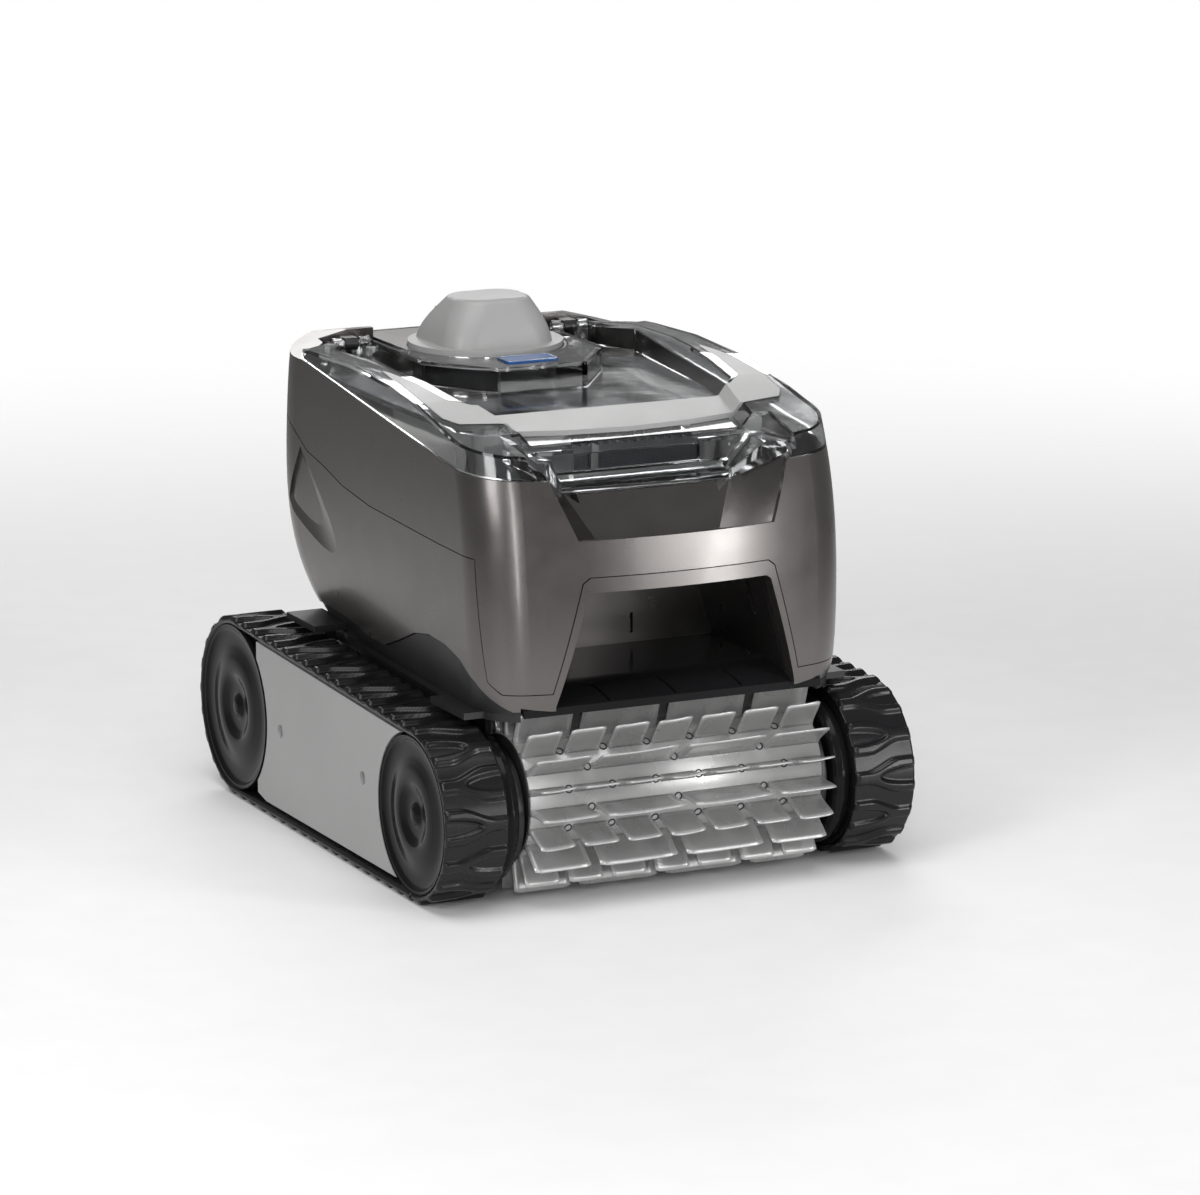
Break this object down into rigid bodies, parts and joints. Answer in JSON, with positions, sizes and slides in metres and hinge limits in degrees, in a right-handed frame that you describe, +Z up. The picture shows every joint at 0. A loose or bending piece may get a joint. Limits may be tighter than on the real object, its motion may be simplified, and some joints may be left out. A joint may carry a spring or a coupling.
{
  "type": "tracked robotic pool cleaner",
  "caption": "Compact tracked pool cleaning robot with a clear hinged lid, filter basket, pump outlet and rotating front brush.",
  "frame": {"origin": "on the floor under the middle of the machine, at the centre of its bounding box in plan", "axes": "+Z up, -Y towards the front where the brush is, +X to the machine's right seen from behind"},
  "size_m": [0.27, 0.3456, 0.277],
  "materials": {
    "taupe_shell": "satin, faint metallic",
    "taupe_dark": "satin",
    "light_grey": "satin",
    "clear_lid": "polished, clear",
    "black_gloss": "gloss",
    "black_satin": "satin",
    "track_rubber": "semi gloss",
    "brush_rubber": "satin",
    "badge_blue": "gloss",
    "steel": "brushed",
    "bearing_plastic": "matt, self lubricating",
    "mesh_grey": "woven",
    "board_green": "solder mask",
    "foam": "closed cell foam"
  },
  "bodies": {
    "root": {"arch_liner": "taupe_dark", "brush_bushes": "bearing_plastic", "brush_cover": "black_gloss", "cable_gland": "black_satin", "cap_screws": "steel", "chassis_base": "black_satin", "control_board": "board_green", "drive_bushes": "bearing_plastic", "drive_gearbox_left": "black_satin", "drive_gearbox_right": "black_satin", "drive_motors": "black_satin", "filter_frame": "light_grey", "filter_handle": "light_grey", "filter_mesh": "mesh_grey", "filter_seal": "track_rubber", "flap_pin": "steel", "foam_floats": "foam", "front_panel": "taupe_dark", "hinge_brackets": "black_satin", "intake_duct": "black_satin", "lower_hull": "taupe_shell", "motor_cap": "black_satin", "motor_housing": "black_satin", "outlet_duct": "black_satin", "outlet_guard": "black_satin", "outlet_hood": "light_grey", "panel_screws": "steel", "pump_motor": "steel", "rear_deck": "taupe_shell", "shaft_seal": "track_rubber", "side_frame_left": "black_satin", "side_frame_right": "black_satin", "side_panel_left": "light_grey", "side_panel_right": "light_grey", "track_left": "track_rubber", "track_right": "track_rubber", "upper_shell": "taupe_shell"},
    "lid": {"lid_clear": "clear_lid", "lid_grip": "light_grey", "grip_ribs": "black_satin", "lid_badge": "badge_blue", "lid_hinge_pins": "steel"},
    "front_wheel_left": {"front_wheel_left": "black_gloss", "front_hubcap_left": "black_gloss", "brush_ring_gear": "bearing_plastic"},
    "front_wheel_right": {"front_wheel_right": "black_gloss", "front_hubcap_right": "black_gloss"},
    "rear_wheel_left": {"rear_wheel_left": "black_gloss", "rear_hubcap_left": "black_gloss", "drive_shaft_left": "steel"},
    "rear_wheel_right": {"rear_wheel_right": "black_gloss", "rear_hubcap_right": "black_gloss", "drive_shaft_right": "steel"},
    "brush": {"brush_sleeve": "brush_rubber", "brush_core": "black_satin", "brush_pinion": "bearing_plastic"},
    "propeller": {"propeller": "black_satin", "propeller_shaft": "steel"},
    "intake_flap": {"intake_flap": "black_satin"}
  },
  "joints": [
    {"name": "rear_wheel_left", "type": "hinge", "parent": "root", "child": "rear_wheel_left", "pos_m": [0, 0.1222, 0.0506], "axis": [1, 0, 0], "continuous": true},
    {"name": "front_wheel_left", "type": "hinge", "parent": "root", "child": "front_wheel_left", "pos_m": [0, -0.1186, 0.0464], "axis": [1, 0, 0], "continuous": true},
    {"name": "rear_wheel_right", "type": "hinge", "parent": "root", "child": "rear_wheel_right", "pos_m": [0, 0.1222, 0.0506], "axis": [1, 0, 0], "continuous": true},
    {"name": "front_wheel_right", "type": "hinge", "parent": "root", "child": "front_wheel_right", "pos_m": [0, -0.1186, 0.0464], "axis": [1, 0, 0], "continuous": true},
    {"name": "brush", "type": "hinge", "parent": "root", "child": "brush", "pos_m": [0, -0.1218, 0.0515], "axis": [1, 0, 0], "continuous": true},
    {"name": "propeller", "type": "hinge", "parent": "root", "child": "propeller", "pos_m": [0, 0.0824, 0.214], "axis": [0, 0, 1], "continuous": true},
    {"name": "lid", "type": "hinge", "parent": "root", "child": "lid", "pos_m": [0, 0.1154, 0.249], "axis": [-1, 0, 0], "range_deg": [0, 95]},
    {"name": "intake_flap", "type": "hinge", "parent": "root", "child": "intake_flap", "pos_m": [0, -0.0056, 0.1195], "axis": [-1, 0, 0], "range_deg": [0, 75]}
  ],
  "couplings": [
    {"joint": "front_wheel_left", "follows": "rear_wheel_left", "ratio": 1.1007},
    {"joint": "front_wheel_right", "follows": "rear_wheel_right", "ratio": 1.1007},
    {"joint": "brush", "follows": "rear_wheel_left", "ratio": 1.651}
  ]
}
